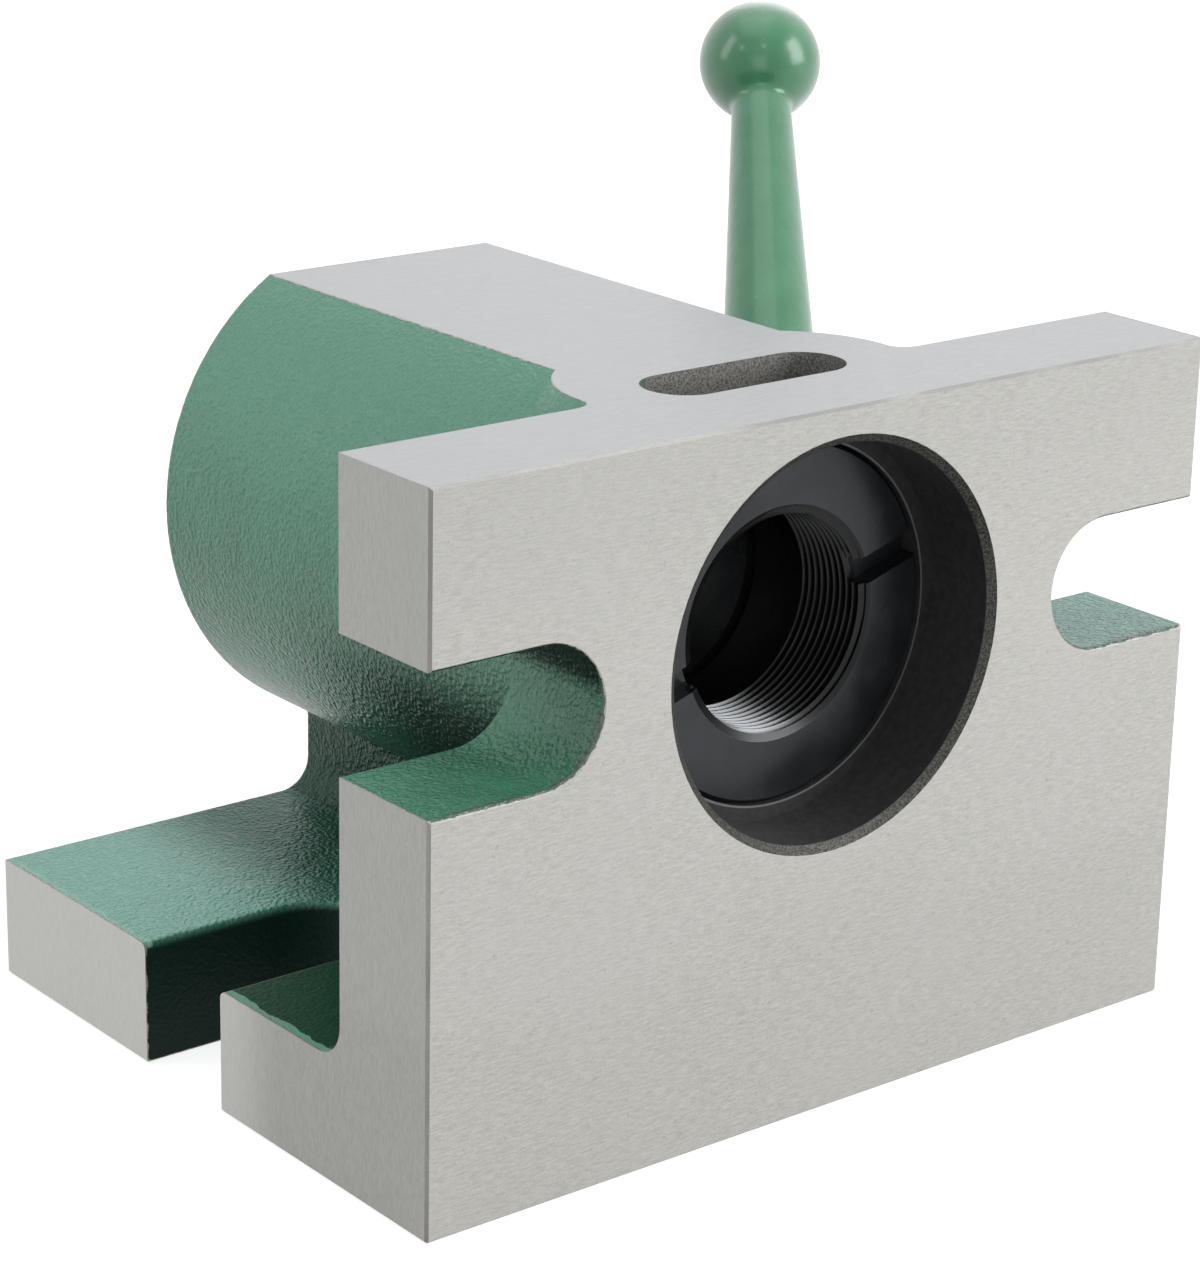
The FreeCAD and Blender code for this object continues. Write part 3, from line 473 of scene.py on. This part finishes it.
def thread_cutter():
    """A closed ring whose outer wall is the thread's groove, to be cut from the nut's bore."""
    segments, rows_a_pitch = 168, 10
    rows = int((THREAD_END - THREAD_START) / THREAD_PITCH * rows_a_pitch)
    inner = 0.0147
    mouth_flare, mouth_length = 0.0004, 0.0016
    flat = 0.08
    shape = bmesh.new()

    def ring(y, radii):
        points = []
        for k, radius in enumerate(radii):
            angle = 2 * math.pi * k / segments
            points.append(shape.verts.new((radius * math.cos(angle), y, AXIS_HEIGHT + radius * math.sin(angle))))
        return points

    rings = []
    for row in range(rows + 1):
        y = THREAD_START + (THREAD_END - THREAD_START) * row / rows
        flare = mouth_flare * max(0.0, 1 - (y - THREAD_START) / mouth_length)
        radii = []
        for k in range(segments):
            phase = ((y - THREAD_START) / THREAD_PITCH + k / segments) % 1.0
            tooth = 1 - abs(2 * phase - 1)
            tooth = min(max((tooth - flat) / (1 - 2 * flat), 0.0), 1.0)
            radii.append(CUTTER_START_RADIUS + (THREAD_ROOT_RADIUS + flare - CUTTER_START_RADIUS) * tooth)
        rings.append(ring(y, radii))
    first_end, last_end = (ring(y, [inner] * segments) for y in (THREAD_START, THREAD_END))
    loops = [first_end] + rings + [last_end]
    for first, second in zip(loops, loops[1:] + loops[:1]):
        for k in range(segments):
            after = (k + 1) % segments
            shape.faces.new((first[k], first[after], second[after], second[k]))
    bmesh.ops.recalc_face_normals(shape, faces=shape.faces)
    mesh = bpy.data.meshes.new("thread_cutter")
    shape.to_mesh(mesh)
    shape.free()
    return bpy.data.objects.new("thread_cutter", mesh)


def welded_copy(node, name):
    """A copy of a solid's mesh with its corners joined, so that it is closed."""
    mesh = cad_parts[node].data.copy()
    mesh.name = name
    mesh.attributes.remove(mesh.attributes["custom_normal"])
    shape = bmesh.new()
    shape.from_mesh(mesh)
    bmesh.ops.remove_doubles(shape, verts=shape.verts, dist=1e-7)
    shape.to_mesh(mesh)
    shape.free()
    piece = bpy.data.objects.new(name, mesh)
    bpy.context.scene.collection.objects.link(piece)
    return piece


def cut_away(piece, cutter):
    cut = piece.modifiers.new("thread", "BOOLEAN")
    cut.operation = "DIFFERENCE"
    cut.solver = "EXACT"
    cut.object = cutter
    graph = bpy.context.evaluated_depsgraph_get()
    graph.update()
    mesh = bpy.data.meshes.new_from_object(piece.evaluated_get(graph), depsgraph=graph)
    piece.modifiers.clear()
    piece.data = mesh
    bpy.data.objects.remove(cutter)


def smooth_by_angle(piece, degrees):
    mesh = piece.data
    mesh.polygons.foreach_set("use_smooth", [True] * len(mesh.polygons))
    mesh.set_sharp_from_angle(angle=math.radians(degrees))


nut = welded_copy("draw_nut", "threaded_draw_nut")
cutter = thread_cutter()
bpy.context.scene.collection.objects.link(cutter)
cut_away(nut, cutter)
nut.data.materials.clear()
nut.data.materials.append(black_oxide("nut_black", threaded=True))
smooth_by_angle(nut, 18)
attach(nut, "nut")
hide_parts("draw_nut")


# Floor, backdrop and light

def any_ray(tree, *kinds):
    """A value of 1 for rays of the named kinds and 0 for the others."""
    light_path = tree.nodes.new("ShaderNodeLightPath")
    seen = light_path.outputs[kinds[0]]
    for kind in kinds[1:]:
        either = tree.nodes.new("ShaderNodeMath")
        either.operation = "MAXIMUM"
        tree.links.new(seen, either.inputs[0])
        tree.links.new(light_path.outputs[kind], either.inputs[1])
        seen = either.outputs[0]
    return seen


def put_floor():
    half = 6
    mesh = bpy.data.meshes.new("floor")
    corners = [(-half, -half, 0), (half, -half, 0), (half, half, 0), (-half, half, 0)]
    mesh.from_pydata(corners, [], [(0, 1, 2, 3)])
    floor = bpy.data.objects.new("floor", mesh)
    bpy.context.scene.collection.objects.link(floor)
    floor.location.z = -0.00005
    material = bpy.data.materials.new("floor_white")
    material.use_nodes = True
    tree = material.node_tree
    shader = tree.nodes["Principled BSDF"]
    shader.inputs["Base Color"].default_value = (0.33, 0.33, 0.335, 1)
    shader.inputs["Roughness"].default_value = 0.9
    shader.inputs["Emission Color"].default_value = (1, 1, 1, 1)
    glow = tree.nodes.new("ShaderNodeMath")
    glow.operation = "MULTIPLY"
    glow.inputs[1].default_value = 0.8
    tree.links.new(any_ray(tree, "Is Camera Ray", "Is Glossy Ray"), glow.inputs[0])
    tree.links.new(glow.outputs[0], shader.inputs["Emission Strength"])
    mesh.materials.append(material)


def put_world():
    """White where it is seen, and a soft sky that is darker toward the floor where it lights."""
    world = bpy.data.worlds.new("studio")
    world.use_nodes = True
    tree = world.node_tree
    background = tree.nodes["Background"]
    background.inputs["Color"].default_value = (1, 1, 1, 1)
    place = tree.nodes.new("ShaderNodeTexCoord")
    parts = tree.nodes.new("ShaderNodeSeparateXYZ")
    tree.links.new(place.outputs["Generated"], parts.inputs[0])
    height = tree.nodes.new("ShaderNodeMapRange")
    for name, number in (("From Min", 0.0), ("From Max", 0.9), ("To Min", 0.16), ("To Max", 0.62)):
        height.inputs[name].default_value = number
    tree.links.new(parts.outputs["Z"], height.inputs["Value"])
    strength = tree.nodes.new("ShaderNodeMapRange")
    strength.inputs["To Max"].default_value = 1.0
    seen = any_ray(tree, "Is Camera Ray", "Is Glossy Ray", "Is Transmission Ray")
    tree.links.new(seen, strength.inputs["Value"])
    tree.links.new(height.outputs[0], strength.inputs["To Min"])
    tree.links.new(strength.outputs[0], background.inputs["Strength"])
    bpy.context.scene.world = world


def put_lamp(name, place, size, power, tint=(1, 1, 1), target=(0, 0, 0.06)):
    data = bpy.data.lights.new(name, "AREA")
    data.shape = "RECTANGLE"
    data.size, data.size_y = size
    data.energy = power
    data.color = tint
    lamp = bpy.data.objects.new(name, data)
    bpy.context.scene.collection.objects.link(lamp)
    lamp.location = place
    lamp.rotation_euler = (Vector(target) - Vector(place)).to_track_quat("-Z", "Y").to_euler()


COOL = (0.9, 0.94, 1.0)
BALL = (0.05, 0.03, 0.12)

put_floor()
put_world()
put_lamp("key", (0.85, -0.95, 0.58), (0.7, 0.9), 15.1)
put_lamp("overhead", (-0.1, 0.1, 1.3), (1.0, 1.0), 3.7, COOL)
put_lamp("beside_camera", (-0.75, -0.9, 0.32), (0.6, 0.6), 1.6)
put_lamp("left_strip", (-1.1, 0.62, 0.72), (0.45, 1.0), 4.9)
put_lamp("right_rear", (1.0, 1.0, 0.75), (0.9, 0.9), 2.3, COOL)

# Small lamps that give the lever's ball its three highlights
for name, place in (("small_left", (-1.19, -0.09, 0.93)), ("small_middle", (-0.5, -0.87, 1.06)),
                    ("small_right", (0.65, -0.99, 0.78))):
    put_lamp(name, place, (0.1, 0.1), 0.5, target=BALL)

bpy.context.scene.view_settings.view_transform = "Standard"
